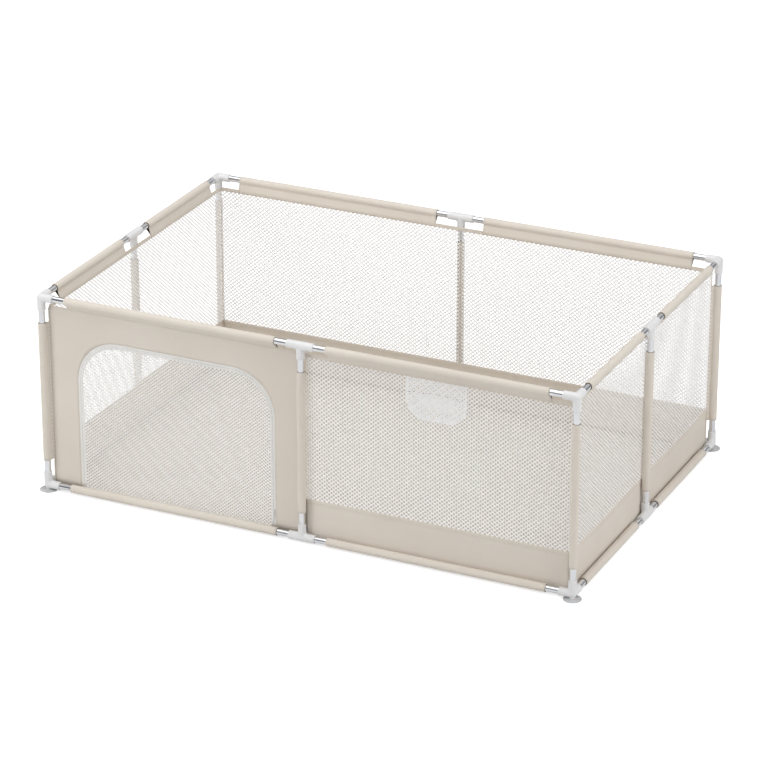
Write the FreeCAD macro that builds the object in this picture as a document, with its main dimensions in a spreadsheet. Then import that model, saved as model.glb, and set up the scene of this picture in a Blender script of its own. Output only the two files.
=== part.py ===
"""Large push-fit play yard: a steel-tube frame, plastic joints, and a fabric and net enclosure with a zipped door.

Millimetres. X runs along the length, Y from the front (door) side to the back, Z up. The origin is on the floor,
in the middle of the yard.
"""

import FreeCAD, Part
import math
import os

Vector = FreeCAD.Vector
Rotation = FreeCAD.Rotation

os.makedirs("parts", exist_ok=True)
doc = FreeCAD.newDocument("play_yard")

# ---------------------------------------------------------------- driving dimensions
SIZES = [
    ("rail_length", 1770, "tube axis to tube axis along X"),
    ("rail_width", 1170, "tube axis to tube axis along Y"),
    ("low_rail", 19, "height of the bottom rail's axis"),
    ("high_rail", 649, "height of the top rail's axis"),
    ("tube_dia", 20, "steel tube, outside"),
    ("tube_wall", 1.2, "steel tube, wall"),
    ("tube_stop", 14, "tube end to joint centre"),
    ("joint_dia", 26, "plastic joint, outside"),
    ("socket_gap", 0.05, "radial gap of a tube in its socket"),
    ("tee_arm", 44, "tee centre to the mouth of a rail arm"),
    ("elbow_arm", 42, "corner joint centre to the mouth of a rail arm"),
    ("joint_leg", 43, "joint centre to the mouth of the post socket"),
    ("joint_step", 0.2, "each arm of a corner joint is this much slimmer than the one before"),
    ("joint_blend", 8, "radius where the arms of a joint meet"),
    ("joint_rim", 1, "chamfer round a socket's mouth"),
    ("boss_dia", 18, "boss under a bottom corner joint"),
    ("stem_dia", 9, "stem of a suction cup"),
    ("stem_gap", 0.05, "radial gap of the stem in its boss"),
    ("boss_base", 4.6, "height of the boss's underside"),
    ("stem_top", 12, "height of the stem's top"),
    ("cup_dia", 56, "suction cup"),
    ("cup_rim", 1.4, "thickness of the suction cup's rim"),
    ("cup_wall", 1.8, "thickness of the suction cup's skin"),
    ("sleeve_dia", 26, "fabric sleeve round a tube"),
    ("sleeve_bore", 20.4, "inside of the fabric sleeve"),
    ("sleeve_start", 84, "joint centre to the start of the sleeve"),
    ("wall_inset", 16, "tube axis to the middle of the wall"),
    ("cloth", 1.2, "thickness of a wall"),
    ("fold_start", 11.6, "tube axis to the start of a sleeve's fold, inside the sleeve"),
    ("fold_thick", 3, "thickness of the fold beside a post"),
    ("fold_slant", 8.2, "length of the fold from a corner post to the corner of the walls"),
    ("fold_base", 7, "height of the lower edge of the fold below a bottom sleeve"),
    ("fold_tall", 30, "rail axis down to the top of the hem strip"),
    ("hem_tall", 11, "height of the hem strip along the top of a wall"),
    ("wall_base", 2.6, "height of the wall's lower edge, which clears the suction cups"),
    ("skirt_top", 140, "height of the fabric skirt's upper edge"),
    ("sheet_corner", 34, "corner radius of the floor sheet"),
    ("door_middle", -434.5, "X of the door's middle"),
    ("door_half", 337.5, "half the width of the door cut-out"),
    ("door_top", 529.5, "height of the door cut-out's top"),
    ("door_round", 145, "corner radius of the door cut-out"),
    ("door_base", 19.6, "height of the door cut-out's lower edge"),
    ("tape_wide", 6.3, "zip tape on the fixed side"),
    ("zip_gap", 1.6, "gap between the two halves of the zip"),
    ("flap_thick", 1.0, "thickness of the door flap"),
    ("flap_base", 21.2, "height of the flap's lower edge"),
    ("pocket_left", 338, "X of the pocket's left edge"),
    ("pocket_wide", 194, "width of the pocket"),
    ("pocket_low", 476, "height of the pocket's lower edge"),
    ("pocket_lip", 559.5, "height of the pocket's opening"),
    ("pocket_round", 60, "corner radius of the pocket"),
    ("pocket_deep", 15, "depth of the pouch"),
    ("pocket_cloth", 1.0, "thickness of the pocket's net"),
    ("slider_height", 78, "height of the zip slider's middle with the door closed"),
    ("slider_wide", 9, "zip slider, width"),
    ("slider_tall", 14, "zip slider, height of its front plate"),
    ("slider_front", 2.7, "wall's middle to the slider's front face"),
    ("slider_plate", 1.8, "thickness of the slider's front plate"),
    ("slider_rear", 1.2, "thickness of the slider's rear plate"),
    ("slider_web", 0.8, "width of the web between the plates"),
    ("slider_core", 6, "height of the web between the plates"),
    ("slider_play", 0.3, "gap between the rear plate and the tape"),
    ("ear_deep", 3.5, "how far the slider's two ears stand out"),
    ("ear_thick", 1.4, "thickness of an ear"),
    ("ear_gap", 4.8, "gap between the ears"),
    ("ear_low", 2, "slider's middle up to the foot of the ears"),
    ("ear_tall", 4, "height of the ears"),
    ("pin_ahead", 1.9, "slider's front face to the axis of the pull's pin"),
    ("pin_dia", 1.6, "pin of the pull"),
    ("pin_gap", 0.1, "radial gap of the pin in the ears"),
    ("eye_dia", 2.6, "pull's eye round its pin"),
    ("eye_wide", 3.8, "width of the eye and of the pull's neck"),
    ("pull_thick", 1.4, "thickness of the pull"),
    ("pull_wide", 7, "width of the pull's tab"),
    ("pull_neck", 11, "pin down to the top of the pull's tab"),
    ("pull_tall", 12, "height of the pull's tab"),
]
sheet = doc.addObject("Spreadsheet::Sheet", "Sizes")
for line, (alias, value, meaning) in enumerate(SIZES, 1):
    sheet.set("A%d" % line, meaning)
    sheet.set("B%d" % line, str(value))
    sheet.setAlias("B%d" % line, alias)
doc.recompute()


def S(text):
    """An expression in which $name stands for a cell of the sheet."""
    return text.replace("$", "Sizes.")


# ---------------------------------------------------------------- building blocks
TURN = {
    "+X": Rotation(Vector(0, 1, 0), 90),
    "-X": Rotation(Vector(0, 1, 0), -90),
    "+Y": Rotation(Vector(1, 0, 0), -90),
    "-Y": Rotation(Vector(1, 0, 0), 90),
    "+Z": Rotation(),
    "-Z": Rotation(Vector(1, 0, 0), 180),
}
STEP = {"+X": (1, 0, 0), "-X": (-1, 0, 0), "+Y": (0, 1, 0), "-Y": (0, -1, 0), "+Z": (0, 0, 1), "-Z": (0, 0, -1)}
TOWARDS = {"+X": "right", "-X": "left", "+Y": "back", "-Y": "front", "+Z": "up", "-Z": "down"}


def place(obj, at, turn=None):
    """Puts an object at three expressions, with a fixed turn."""
    if turn is not None:
        obj.Placement = FreeCAD.Placement(Vector(0, 0, 0), turn)
    for letter, text in zip("xyz", at):
        obj.setExpression(".Placement.Base." + letter, S(str(text)))
    return obj


def along(at, way, distance):
    """The point a distance from at in one of the six directions, as expressions."""
    return tuple("(%s) + %d * (%s)" % (a, s, distance) if s else a for a, s in zip(at, STEP[way]))


def rod(name, at, way, dia, length):
    obj = doc.addObject("Part::Cylinder", name)
    obj.setExpression("Radius", S("(%s) / 2" % dia))
    obj.setExpression("Height", S(length))
    return place(obj, at, TURN[way])


def block(name, low, high):
    """A box between two corners, each three expressions."""
    obj = doc.addObject("Part::Box", name)
    for size, a, b in zip(("Length", "Width", "Height"), low, high):
        obj.setExpression(size, S("(%s) - (%s)" % (b, a)))
    return place(obj, low)


def fuse(name, shapes):
    obj = doc.addObject("Part::MultiFuse", name)
    obj.Shapes = shapes
    obj.Refine = True
    return obj


def cut(name, base, tool):
    obj = doc.addObject("Part::Cut", name)
    obj.Base = base
    obj.Tool = tool
    obj.Refine = True
    return obj


nodes = []


def keep(obj, label):
    """Marks an object as one of the yard's pieces."""
    obj.Label = label
    nodes.append(obj)
    return obj


# ---------------------------------------------------------------- where the frame's corners and middles are
X_AT = {"left": "-$rail_length / 2", "mid": "0", "right": "$rail_length / 2"}
Y_AT = {"front": "-$rail_width / 2", "mid": "0", "back": "$rail_width / 2"}
Z_AT = {"top": "$high_rail", "bottom": "$low_rail"}
CORNERS = [(side, end) for side in ("front", "back") for end in ("left", "right")]
INWARD = {"front": "+Y", "back": "-Y", "left": "+X", "right": "-X"}
ENDS = {"front": ("-X", "+X"), "back": ("-X", "+X"), "left": ("-Y", "+Y"), "right": ("-Y", "+Y")}
MIDDLES = {"front": ("mid", "front"), "back": ("mid", "back"), "left": ("left", "mid"), "right": ("right", "mid")}

# ---------------------------------------------------------------- steel tubes


def tube(label, at, way, length):
    outer = rod(label + "_outer", at, way, "$tube_dia", length)
    bore = rod(label + "_bore", at, way, "$tube_dia - 2 * $tube_wall", length)
    return keep(cut(label + "_cut", outer, bore), label)


half_x = "$rail_length / 2 - 2 * $tube_stop"
half_y = "$rail_width / 2 - 2 * $tube_stop"
for level in ("top", "bottom"):
    for side in ("front", "back"):
        for end, way in (("left", "-X"), ("right", "+X")):
            start = along(("0", Y_AT[side], Z_AT[level]), way, "$tube_stop")
            tube("tube_%s_%s_%s" % (level, side, end), start, way, half_x)
    for side in ("left", "right"):
        for end, way in (("front", "-Y"), ("back", "+Y")):
            start = along((X_AT[side], "0", Z_AT[level]), way, "$tube_stop")
            tube("tube_%s_%s_%s" % (level, side, end), start, way, half_y)
post_tall = "$high_rail - $low_rail - 2 * $tube_stop"
post_base = "$low_rail + $tube_stop"
for side, end in CORNERS:
    tube("post_%s_%s" % (side, end), (X_AT[end], Y_AT[side], post_base), "+Z", post_tall)
for side, (x, y) in MIDDLES.items():
    tube("post_%s_mid" % side, (X_AT[x], Y_AT[y], post_base), "+Z", post_tall)

# ---------------------------------------------------------------- plastic joints
NEAR_CENTRE = 25  # the edges where a joint's arms meet lie this close to its centre


def blended(label, base, centre):
    """Rounds the inner corners where the arms of a joint meet."""
    corners = []
    for number, edge in enumerate(base.Shape.Edges, 1):
        near = (edge.BoundBox.Center - centre).Length < NEAR_CENTRE
        straight = len(edge.Vertexes) == 2 and edge.Vertexes[0].Point.distanceToPoint(edge.Vertexes[1].Point)
        curved = edge.Length > 2 and abs(edge.Length - straight) > 0.5
        if near and curved:
            corners.append((number, sheet.joint_blend, sheet.joint_blend))
    obj = doc.addObject("Part::Fillet", label + "_blend")
    obj.Base = base
    obj.Edges = corners
    return obj


def softened(label, base, centre):
    """Breaks the outer edge of every socket mouth."""
    doc.recompute()
    rims = []
    for number, edge in enumerate(base.Shape.Edges, 1):
        outside = edge.Length > math.pi * (sheet.joint_dia - 1) and len(edge.Vertexes) == 1
        away = (edge.BoundBox.Center - centre).Length
        if outside and away > sheet.elbow_arm - 1:
            rims.append((number, sheet.joint_rim, sheet.joint_rim))
    obj = doc.addObject("Part::Chamfer", label + "_rims")
    obj.Base = base
    obj.Edges = rims
    return obj


def joint(label, at, arms, bar=False, foot=False):
    """A push-fit joint with a socket in each direction of arms, which maps a direction to its (diameter, length).

    With bar, the first two arms are one straight bar, as in a tee. With foot, a boss for a suction cup is underneath.
    """
    ways = list(arms)
    if bar:
        dia, length = arms[ways[0]]
        solid = [rod(label + "_bar", along(at, ways[0], length), ways[1], dia, "2 * %s" % length)]
        single = ways[2:]
    else:
        ball = doc.addObject("Part::Sphere", label + "_ball")
        ball.setExpression("Radius", S("$joint_dia / 2"))
        solid = [place(ball, at)]
        single = ways
    for way in single:
        dia, length = arms[way]
        solid.append(rod(label + "_arm_" + TOWARDS[way], at, way, dia, length))
    holes = []
    for way in ways:
        depth = "%s - $tube_stop + 1" % arms[way][1]
        dia = "$tube_dia + 2 * $socket_gap"
        holes.append(rod(label + "_socket_" + TOWARDS[way], along(at, way, "$tube_stop"), way, dia, depth))
    whole = fuse(label + "_solid", solid)
    doc.recompute()
    centre = solid[-1].Placement.Base  # a single arm starts at the joint's centre
    smooth = blended(label, whole, centre)
    if foot:
        base = (at[0], at[1], "$boss_base")
        boss = rod(label + "_boss", base, "+Z", "$boss_dia", "$low_rail - $boss_base")
        smooth = fuse(label + "_with_boss", [smooth, boss])
        holes.append(rod(label + "_stem_hole", base, "+Z", "$stem_dia + 2 * $stem_gap", "$stem_top - $boss_base"))
    return softened(label, cut(label + "_sockets", smooth, fuse(label + "_holes", holes)), centre)


for level, up in (("top", "-Z"), ("bottom", "+Z")):
    # the three arms of a joint differ a little in diameter, which keeps the blends between them sound
    leg = ("$joint_dia - 2 * $joint_step", "$joint_leg")
    for side, end in CORNERS:
        label = "elbow_%s_%s_%s" % (level, side, end)
        arms = {
            INWARD[end]: ("$joint_dia", "$elbow_arm"),
            INWARD[side]: ("$joint_dia - $joint_step", "$elbow_arm"),
            up: leg,
        }
        keep(joint(label, (X_AT[end], Y_AT[side], Z_AT[level]), arms, foot=level == "bottom"), label)
    for side, (x, y) in MIDDLES.items():
        label = "tee_%s_%s" % (level, side)
        arms = {way: ("$joint_dia", "$tee_arm") for way in ENDS[side]}
        arms[up] = leg
        keep(joint(label, (X_AT[x], Y_AT[y], Z_AT[level]), arms, bar=True), label)

# ---------------------------------------------------------------- suction cups


def cone(name, at, low, high, tall):
    obj = doc.addObject("Part::Cone", name)
    obj.setExpression("Radius1", S(low))
    obj.setExpression("Radius2", S(high))
    obj.setExpression("Height", S(tall))
    return place(obj, at)


for side, end in CORNERS:
    # a soft cup, hollow underneath, with its rim on the floor and its stem up in the boss
    label = "suction_cup_%s_%s" % (side, end)
    at = (X_AT[end], Y_AT[side], "0")
    rim = rod(label + "_rim", at, "+Z", "$cup_dia", "$cup_rim")
    rise = "$boss_base - $cup_rim"
    skin = cone(label + "_skin", along(at, "+Z", "$cup_rim"), "$cup_dia / 2", "$boss_dia / 2", rise)
    stem = rod(label + "_stem", along(at, "+Z", "$cup_rim"), "+Z", "$stem_dia", "$stem_top - $cup_rim - 0.1")
    inner = ["%s - $cup_wall" % size for size in ("$cup_dia / 2", "$boss_dia / 2", "$boss_base")]
    hollow = cone(label + "_hollow", at, *inner)
    keep(cut(label + "_cup", fuse(label + "_solid", [rim, skin, stem]), hollow), label)

# ---------------------------------------------------------------- fabric sleeves and hem strips
# Each rail sleeve wraps its tube and folds inwards to the wall; a hem strip runs the whole length of each wall's top,
# so that it bridges the windows where the joints are.


def sleeve(label, at, way, length, fold):
    """A sleeve round a tube, with the box that folds over to the wall."""
    outer = rod(label + "_outer", at, way, "$sleeve_dia", length)
    bore = rod(label + "_bore", at, way, "$sleeve_bore", length)
    return cut(label, fuse(label + "_solid", [outer, fold]), bore)


def facing(side, near, far):
    """The span from near to far, measured inwards from a side's tube axis, as (low, high) expressions."""
    middle = Y_AT[side] if side in ("front", "back") else X_AT[side]
    if INWARD[side][0] == "+":
        return ["(%s) + (%s)" % (middle, x) for x in (near, far)]
    return ["(%s) - (%s)" % (middle, x) for x in (far, near)]


def wall_box(label, side, span, across, heights):
    """A box on one side: span along the side, across measured inwards from the tube axis, and heights."""
    low, high = facing(side, *across)
    if side in ("front", "back"):
        return block(label, (span[0], low, heights[0]), (span[1], high, heights[1]))
    return block(label, (low, span[0], heights[0]), (high, span[1], heights[1]))


face_out = "$wall_inset - $cloth / 2"
face_in = "$wall_inset + $cloth / 2"
clear_of_wall = face_out + " - 0.1"
hem_top = "$high_rail - $fold_tall + 1"
net_top = "$high_rail - $fold_tall - $hem_tall + 1"
half_length, half_width = "$rail_length / 2", "$rail_width / 2"
HALF = {"front": half_length, "back": half_length, "left": half_width, "right": half_width}
# walls along X run right into the corners, and those along Y stop at them
WALL_END = {side: HALF[side] + " - (" + (face_out if side in ("front", "back") else face_in) + ")" for side in HALF}

# each side also has the sleeve of one corner post, whose fold slants inwards by this many degrees from +X
SLEEVED_CORNER = {
    "front": ("left", "front"),
    "right": ("right", "front"),
    "back": ("right", "back"),
    "left": ("left", "back"),
}
SLANT = {"front": 45, "right": 135, "back": 225, "left": 315}

for side in ("front", "right", "back", "left"):
    half = HALF[side]
    x, y = (X_AT[MIDDLES[side][0]], Y_AT[MIDDLES[side][1]])
    run = half + " - 2 * $sleeve_start"
    pieces = []
    top = []
    for number, way in enumerate(ENDS[side]):
        span = ("$sleeve_start", half + " - $sleeve_start")
        if way[0] == "-":
            span = ("-(%s)" % span[1], "-(%s)" % span[0])
        for level in ("top", "bottom"):
            label = "sleeve_%s_%s_%d" % (level, side, number)
            start = along((x, y, Z_AT[level]), way, "$sleeve_start")
            if level == "top":
                across = ("$fold_start", face_in)
                fold = wall_box(label + "_fold", side, span, across, ("$high_rail - $fold_tall", "$high_rail"))
                top.append(sleeve(label, start, way, run, fold))
            else:
                across = ("$fold_start", clear_of_wall)
                fold = wall_box(label + "_fold", side, span, across, ("$fold_base", "$low_rail"))
                pieces.append(sleeve(label, start, way, run, fold))
    end = WALL_END[side]
    top.append(wall_box("hem_" + side, side, ("-(%s)" % end, end), (face_out, face_in), (net_top, hem_top)))
    pieces.append(fuse("top_sleeves_" + side, top))
    # the sleeve of the middle post folds straight in to the wall
    low = "$low_rail + $sleeve_start"
    high = "$high_rail - $sleeve_start"
    label = "sleeve_post_" + side
    thick = ("-$fold_thick / 2", "$fold_thick / 2")
    fold = wall_box(label + "_fold", side, thick, ("$fold_start", clear_of_wall), (low, high))
    pieces.append(sleeve(label, (x, y, low), "+Z", "(%s) - (%s)" % (high, low), fold))
    # and that of the corner post folds in diagonally to the corner of the walls
    end_x, end_y = SLEEVED_CORNER[side]
    cx, cy = (X_AT[end_x], Y_AT[end_y])
    fold = doc.addObject("Part::Box", label + "_corner_fold")
    fold.setExpression("Length", S("$fold_slant"))
    fold.setExpression("Width", S("$fold_thick"))
    fold.setExpression("Height", S("(%s) - (%s)" % (high, low)))
    slant = SLANT[side]
    cosine, sine = (round(math.cos(math.radians(slant)), 9), round(math.sin(math.radians(slant)), 9))
    at = (
        "%s + $fold_start * (%s) + $fold_thick / 2 * (%s)" % (cx, cosine, sine),
        "%s + $fold_start * (%s) - $fold_thick / 2 * (%s)" % (cy, sine, cosine),
        low,
    )
    place(fold, at, Rotation(Vector(0, 0, 1), slant))
    pieces.append(sleeve(label + "_corner", (cx, cy, low), "+Z", "(%s) - (%s)" % (high, low), fold))
    group = doc.addObject("Part::Compound", "sleeves_" + side + "_group")
    group.Links = pieces
    keep(group, "sleeves_" + side)

# ---------------------------------------------------------------- net walls, skirts and floor

skirts = []
for side in ("front", "right", "back", "left"):
    end = WALL_END[side]
    start = "0" if side == "front" else "-(%s)" % end
    across = (face_out, face_in)
    keep(wall_box("net_" + side, side, (start, end), across, ("$skirt_top", net_top)), "net_wall_" + side)
    skirts.append(wall_box("skirt_" + side, side, (start, end), across, ("$wall_base", "$skirt_top")))
band = doc.addObject("Part::Compound", "skirt_group")
band.Links = skirts
keep(band, "skirts")

floor_x = "$rail_length / 2 - $wall_inset - $cloth / 2"
floor_y = "$rail_width / 2 - $wall_inset - $cloth / 2"
floor = block("floor_box", ("-(%s)" % floor_x, "-(%s)" % floor_y, "0"), (floor_x, floor_y, "$cloth"))
doc.recompute()
upright = []
for number, edge in enumerate(floor.Shape.Edges, 1):
    if abs(edge.Vertexes[0].Z - edge.Vertexes[1].Z) > 1:
        upright.append((number, sheet.sheet_corner, sheet.sheet_corner))
rounded = doc.addObject("Part::Fillet", "floor_round")
rounded.Base = floor
rounded.Edges = upright
keep(rounded, "floor_sheet")

# ---------------------------------------------------------------- door panel, zip and flap


def arch(label, middle, half, low, high, corner, across, upside_down=False):
    """A plate in the front wall with two rounded corners, at the top or, upside down, at the bottom."""
    near, far = facing("front", *across)
    narrow = "(%s) - (%s)" % (half, corner)
    shoulder = "(%s) - (%s)" % (high, corner)
    wide = (low, shoulder)
    if upside_down:
        shoulder = "(%s) + (%s)" % (low, corner)
        wide = (shoulder, high)
    left, right = ["(%s) %s (%s)" % (middle, sign, half) for sign in "-+"]
    inner_left, inner_right = ["(%s) %s (%s)" % (middle, sign, narrow) for sign in "-+"]
    parts = [
        block(label + "_wide", (left, near, wide[0]), (right, far, wide[1])),
        block(label + "_tall", (inner_left, near, low), (inner_right, far, high)),
    ]
    for tag, x in (("_left", inner_left), ("_right", inner_right)):
        parts.append(rod(label + tag, (x, near, shoulder), "+Y", "2 * (%s)" % corner, "(%s) - (%s)" % (far, near)))
    plate = doc.addObject("Part::Common", label)
    plate.Base = fuse(label + "_parts", parts)
    plate.Tool = block(label + "_bounds", (left, near, low), (right, far, high))
    plate.Refine = True
    return plate


cloth_across = (face_out, face_in)
panel = wall_box("panel_plate", "front", ("-(%s)" % WALL_END["front"], "0"), cloth_across, ("$wall_base", net_top))
through = ("$wall_inset - 3", "$wall_inset + 3")
opening = arch("door_opening", "$door_middle", "$door_half", "$door_base", "$door_top", "$door_round", through)
keep(cut("panel_cut", panel, opening), "front_door_panel")

tape = arch("tape_plate", "$door_middle", "$door_half", "$door_base", "$door_top", "$door_round", cloth_across)
inner = "$door_half - $tape_wide"
inner_round = "$door_round - $tape_wide"
inside = arch("tape_inside", "$door_middle", inner, "$door_base - 5", "$door_top - $tape_wide", inner_round, through)
keep(cut("tape_cut", tape, inside), "zip_tape")

flap_across = ("$wall_inset - $flap_thick / 2", "$wall_inset + $flap_thick / 2")
edge = "$tape_wide + $zip_gap"
flap_top = "$door_top - " + edge.replace("+", "-")
flap_half = "$door_half - " + edge.replace("+", "-")
flap_round = "$door_round - " + edge.replace("+", "-")
flap = arch("flap_plate", "$door_middle", flap_half, "$flap_base", flap_top, flap_round, flap_across)
keep(flap, "door_flap")

# the slider straddles the fixed tape: a plate in front of both halves, a web between them, a plate behind the tape
slide_x = "$door_middle + $door_half - $tape_wide - $zip_gap / 2"
slide_y = "-$rail_width / 2 + $wall_inset"


def near_slider(name, across, deep, tall):
    """A box by its spans along X, Y and Z, measured from the middle of the slider."""
    bases = (slide_x, slide_y, "$slider_height")
    spans = [["(%s) + (%s)" % (base, end) for end in span] for base, span in zip(bases, (across, deep, tall))]
    return block(name, *zip(*spans))


def both_ways(size):
    """The span of a size about its middle."""
    return ("-(%s) / 2" % size, "(%s) / 2" % size)


plate_back = "$slider_plate - $slider_front"
tape_back = "$cloth / 2 + $slider_play"
core_deep = (plate_back + " - 0.3", tape_back + " + 0.3")
ear_deep = ("-$slider_front - $ear_deep", "-$slider_front + 0.1")
ear_tall = ("$ear_low", "$ear_low + $ear_tall")
plates = [
    near_slider("slider_front", both_ways("$slider_wide"), ("-$slider_front", plate_back), both_ways("$slider_tall")),
    near_slider("slider_core", both_ways("$slider_web"), core_deep, both_ways("$slider_core")),
    near_slider(
        "slider_rear",
        ("-$slider_web / 2", "$slider_wide / 2"),
        (tape_back, tape_back + " + $slider_rear"),
        both_ways("$slider_tall - 4"),
    ),
    near_slider("slider_ear_left", ("-$ear_gap / 2 - $ear_thick", "-$ear_gap / 2"), ear_deep, ear_tall),
    near_slider("slider_ear_right", ("$ear_gap / 2", "$ear_gap / 2 + $ear_thick"), ear_deep, ear_tall),
]
pin_y = "(%s) - $slider_front - $pin_ahead" % slide_y
pin_z = "$slider_height + $ear_low + $ear_tall / 2"


def across_slider(name, dia, length):
    """A rod on the pull's pin axis."""
    return rod(name, ("(%s) - (%s) / 2" % (slide_x, length), pin_y, pin_z), "+X", dia, length)


ears_wide = "$ear_gap + 2 * $ear_thick"
pin_hole = across_slider("slider_pin_hole", "$pin_dia + 2 * $pin_gap", ears_wide + " + 1.6")
keep(cut("slider_cut", fuse("slider_solid", plates), pin_hole), "zip_slider")

pull_deep = tuple("-$slider_front - $pin_ahead %s $pull_thick / 2" % sign for sign in "-+")
pin_up = "$ear_low + $ear_tall / 2"
tab_top = pin_up + " - $pull_neck"
tab = [
    across_slider("pull_pin", "$pin_dia", ears_wide + " - 0.2"),
    across_slider("pull_eye", "$eye_dia", "$eye_wide"),
    near_slider("pull_neck", both_ways("$eye_wide"), pull_deep, (tab_top + " - 1", pin_up)),
    near_slider("pull_tab", both_ways("$pull_wide"), pull_deep, (tab_top + " - $pull_tall", tab_top)),
]
keep(fuse("pull_solid", tab), "zip_pull")

# ---------------------------------------------------------------- net pocket inside the front wall

pocket_mid = "$pocket_left + $pocket_wide / 2"
pocket_half = "$pocket_wide / 2"
back_layer = (face_in + " + 0.1", face_in + " + 0.1 + $pocket_cloth")
pouch_layer = (face_in + " + 0.1", face_in + " + 0.1 + $pocket_deep")
hollow_layer = (back_layer[1], pouch_layer[1] + " - $pocket_cloth")
pocket_corner = "$pocket_round"
backing = arch("pocket_back", pocket_mid, pocket_half, "$pocket_low", net_top, pocket_corner, back_layer, True)
pouch = arch("pocket_pouch", pocket_mid, pocket_half, "$pocket_low", "$pocket_lip", pocket_corner, pouch_layer, True)
thin = "$pocket_cloth"
space = arch(
    "pocket_space",
    pocket_mid,
    pocket_half + " - " + thin,
    "$pocket_low + " + thin,
    "$pocket_lip + 5",
    "$pocket_round - " + thin,
    hollow_layer,
    True,
)
keep(cut("pocket_cut", fuse("pocket_solid", [backing, pouch]), space), "net_pocket")

# ---------------------------------------------------------------- checks and export

doc.recompute()
for obj in doc.Objects:
    if "Invalid" in obj.State or "Error" in obj.State:
        raise RuntimeError("%s failed: %s" % (obj.Name, obj.State))
total = 0
for obj in nodes:
    shape = obj.Shape
    if shape.isNull() or not shape.isValid() or not shape.Solids or shape.Volume <= 0:
        raise RuntimeError("%s has no sound solid" % obj.Label)
    total += shape.Volume
    shape.exportStep("parts/%s.step" % obj.Label)
print("%d pieces, %.0f cm3" % (len(nodes), total / 1000))
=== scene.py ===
"""Looks of a push-fit play yard: chrome tubes, white joints, beige cloth and white net round its CAD frame.

Metres. X runs along the length, Y from the door side to the back, Z up from the floor.
"""

import math

import bpy
import numpy as np
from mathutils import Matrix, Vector


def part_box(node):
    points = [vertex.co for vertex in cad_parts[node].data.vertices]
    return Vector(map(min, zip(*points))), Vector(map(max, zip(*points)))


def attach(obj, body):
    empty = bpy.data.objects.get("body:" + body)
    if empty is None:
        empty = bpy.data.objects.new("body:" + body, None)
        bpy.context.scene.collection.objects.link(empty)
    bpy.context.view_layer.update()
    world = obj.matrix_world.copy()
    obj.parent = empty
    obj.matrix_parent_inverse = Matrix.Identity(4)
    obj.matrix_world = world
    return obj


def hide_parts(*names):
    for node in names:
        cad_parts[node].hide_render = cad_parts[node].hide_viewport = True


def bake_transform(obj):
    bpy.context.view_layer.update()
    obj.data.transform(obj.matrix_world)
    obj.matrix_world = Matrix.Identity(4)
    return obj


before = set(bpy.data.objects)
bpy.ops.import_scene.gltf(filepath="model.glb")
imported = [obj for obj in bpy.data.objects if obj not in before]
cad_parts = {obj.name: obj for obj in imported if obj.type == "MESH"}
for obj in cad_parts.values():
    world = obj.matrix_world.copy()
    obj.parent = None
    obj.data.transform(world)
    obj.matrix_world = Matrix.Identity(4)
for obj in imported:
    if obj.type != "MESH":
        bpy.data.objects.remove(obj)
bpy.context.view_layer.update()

# -------- measures taken from the frame


def middle(node):
    """The middle of a CAD node's box."""
    low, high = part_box(node)
    return (low + high) / 2


RAIL_X = middle("post_back_right").x
RAIL_Y = middle("post_back_right").y
TOP_RAIL = middle("tube_top_back_left").z
LOW_RAIL = middle("tube_bottom_back_left").z
WALL_X = middle("net_wall_right").x
WALL_Y = middle("net_wall_back").y
WALL_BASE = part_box("skirts")[0].z
NET_LOW, NET_TOP = (corner.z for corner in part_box("net_wall_back"))
FLAP_LOW, FLAP_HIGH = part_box("door_flap")
TAPE_LOW, TAPE_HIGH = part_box("zip_tape")
POCKET_LOW, POCKET_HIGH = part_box("net_pocket")

# -------- the cloth's own measures
CLOTH = 0.0010  # thickness of one layer of the fabric
HEM = 0.0018  # thickness where the fabric is folded over
HEM_TALL = 0.011  # height of the hem strip above a net
TAPE_THICK = 0.0014  # thickness of the zip's tapes and of the pocket's lip
SLEEVE_START = 0.084  # joint centre to the end of a sleeve
SLEEVE_RADIUS = 0.0122
DOOR_ROUND = 0.145  # corner radius of the door opening
NET_CELL = (0.0155, 0.0130)  # spacing of the net's holes along a row and up a column
DOOR_CELL = (0.0130, 0.0109)
POCKET_CELL = (0.0098, 0.0082)
OPEN = 0.42  # share of a net that is holes
WALL_SLACK = 0.0014  # how far a wall hangs out of its plane between posts and rails
STRAND = 0.0004  # half the thickness of a net's strand
HOLE_CORNERS = np.array([(1, 0), (0.4, 1), (-0.4, 1), (-1, 0), (-0.4, -1), (0.4, -1)])
HOLE_AREA = 2.8  # area within those corners
UP = (0, 0, 1)

# -------- arrays of points


def smooth_step(x):
    x = np.clip(x, 0, 1)
    return x * x * (3 - 2 * x)


def crumple(u, v, seed, waves=5):
    """An irregular wave over u and v, in radians, about -1 to 1."""
    draw = np.random.default_rng(seed)
    total = 0
    for _ in range(waves):
        a, b = draw.uniform(0.4, 1.6, 2)
        total = total + np.sin(a * u + b * v * draw.choice((-1, 1)) + draw.uniform(0, 2 * math.pi))
    return total / waves


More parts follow.
